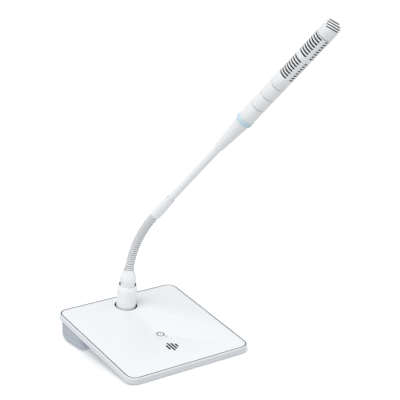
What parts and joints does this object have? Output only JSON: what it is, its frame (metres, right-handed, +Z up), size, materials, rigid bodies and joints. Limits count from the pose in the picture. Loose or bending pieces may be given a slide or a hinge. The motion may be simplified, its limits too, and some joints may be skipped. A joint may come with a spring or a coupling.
{
  "type": "desktop microphone",
  "caption": "White desktop microphone: tilted square base with a talk button, plug-in flexible gooseneck, light ring and slotted tube head.",
  "frame": {"origin": "on the desk surface, at the middle of the long rear rubber foot's sole, on the base's centre plane", "axes": "+Z up, -Y towards the person speaking, +X right when looking along +Y"},
  "size_m": [0.1461, 0.2582, 0.3444],
  "materials": {
    "white_panel": "satin white moulded plastic",
    "white_frame": "fine-textured white plastic",
    "grey_housing": "light grey textured plastic",
    "grey_steel": "powder-coated sheet steel",
    "ballast_steel": "raw mild steel",
    "black_plastic": "black moulded plastic",
    "black_rubber": "matt black rubber",
    "gold_contact": "gold-plated brass",
    "board_green": "green circuit board",
    "screw_steel": "zinc-plated steel",
    "white_metal": "white satin paint on metal",
    "white_spring": "white painted wound steel",
    "ice_ring": "translucent ice-blue light guide",
    "clear_light": "clear light pipe",
    "dark_mesh": "dark acoustic mesh",
    "capsule_metal": "bright aluminium"
  },
  "bodies": {
    "base": {"top_panel": "white_panel", "base_frame": "white_frame", "bottom_pan": "grey_steel", "rear_housing": "grey_housing", "ballast_plate": "ballast_steel", "ballast_block": "ballast_steel", "main_board": "board_green", "audio_processor": "black_plastic", "cable_jack": "black_plastic", "jack_contacts": "gold_contact", "switch_board": "board_green", "dome_switch": "screw_steel", "status_light": "clear_light", "socket_cup": "black_plastic", "socket_gasket": "black_rubber", "socket_core": "black_plastic", "socket_contact_1": "gold_contact", "socket_contact_2": "gold_contact", "socket_contact_3": "gold_contact", "rear_foot": "black_rubber", "front_foot_left": "black_rubber", "front_foot_right": "black_rubber", "pan_screw_left": "screw_steel", "pan_screw_right": "screw_steel", "housing_screw_left_front": "screw_steel", "housing_screw_left_rear": "screw_steel", "housing_screw_right_front": "screw_steel", "housing_screw_right_rear": "screw_steel"},
    "talk_button": {"talk_button": "white_panel"},
    "plug": {"plug_shell": "white_metal", "plug_insert": "black_plastic", "plug_pin_1": "gold_contact", "plug_pin_2": "gold_contact", "plug_pin_3": "gold_contact", "plug_boot": "white_metal"},
    "link_1": {"flex_link_1": "white_spring"},
    "link_2": {"flex_link_2": "white_spring"},
    "link_3": {"flex_link_3": "white_spring"},
    "link_4": {"flex_link_4": "white_spring"},
    "link_5": {"flex_link_5": "white_spring"},
    "link_6": {"flex_link_6": "white_spring"},
    "link_7": {"flex_link_7": "white_spring"},
    "link_8": {"flex_link_8": "white_spring"},
    "head": {"ferrule_sleeve": "white_metal", "stem_tube": "white_metal", "cone_adapter": "white_metal", "light_ring": "ice_ring", "ring_light_board": "board_green", "head_section_1": "white_metal", "head_section_2": "white_metal", "head_section_3": "white_metal", "head_core": "black_plastic", "grille_tube": "white_metal", "grille_cap": "white_metal", "acoustic_mesh": "dark_mesh", "capsule_seat": "black_rubber", "microphone_capsule": "capsule_metal", "amplifier_board": "board_green"}
  },
  "joints": [
    {"name": "plug_release", "type": "slide", "parent": "base", "child": "plug", "axis": [0, -0.1702, 0.9854], "range_m": [0, 0.03]},
    {"name": "talk_button_press", "type": "slide", "parent": "base", "child": "talk_button", "axis": [0, 0.1702, -0.9854], "range_m": [0, 0.0005], "stiffness_N_per_m": 1500},
    {"name": "neck_bend", "type": "hinge", "parent": "plug", "child": "link_1", "pos_m": [0, -0.00103, 0.06621], "axis": [0.9336, 0.3531, 0.061], "range_deg": [-11, 9]},
    {"name": "neck_side", "type": "hinge", "parent": "link_1", "child": "link_2", "pos_m": [0.00026, -0.00334, 0.07552], "axis": [0.3542, -0.8834, -0.3067], "range_deg": [-10, 10]},
    {"name": "bend_3", "type": "hinge", "parent": "link_2", "child": "link_3", "pos_m": [0.00079, -0.00629, 0.08464], "axis": [0.9336, 0.3531, 0.061], "range_deg": [-11, 9]},
    {"name": "side_4", "type": "hinge", "parent": "link_3", "child": "link_4", "pos_m": [0.00156, -0.00987, 0.09352], "axis": [0.3425, -0.8293, -0.4416], "range_deg": [-10, 10]},
    {"name": "bend_5", "type": "hinge", "parent": "link_4", "child": "link_5", "pos_m": [0.00257, -0.01403, 0.10211], "axis": [0.9336, 0.3531, 0.061], "range_deg": [-11, 9]},
    {"name": "side_6", "type": "hinge", "parent": "link_5", "child": "link_6", "pos_m": [0.00381, -0.01873, 0.11039], "axis": [0.3249, -0.7622, -0.5599], "range_deg": [-10, 10]},
    {"name": "bend_7", "type": "hinge", "parent": "link_6", "child": "link_7", "pos_m": [0.00526, -0.02394, 0.11832], "axis": [0.9336, 0.3531, 0.061], "range_deg": [-11, 9]},
    {"name": "side_8", "type": "hinge", "parent": "link_7", "child": "link_8", "pos_m": [0.00691, -0.02961, 0.12589], "axis": [0.3038, -0.6898, -0.6572], "range_deg": [-10, 10]},
    {"name": "bend_9", "type": "hinge", "parent": "link_8", "child": "head", "pos_m": [0.00873, -0.03567, 0.1331], "axis": [0.9336, 0.3531, 0.061], "range_deg": [-11, 9]}
  ],
  "couplings": [
    {"joint": "bend_3", "follows": "neck_bend", "ratio": 1},
    {"joint": "side_4", "follows": "neck_side", "ratio": 1},
    {"joint": "bend_5", "follows": "neck_bend", "ratio": 1},
    {"joint": "side_6", "follows": "neck_side", "ratio": 1},
    {"joint": "bend_7", "follows": "neck_bend", "ratio": 1},
    {"joint": "side_8", "follows": "neck_side", "ratio": 1},
    {"joint": "bend_9", "follows": "neck_bend", "ratio": 1}
  ]
}
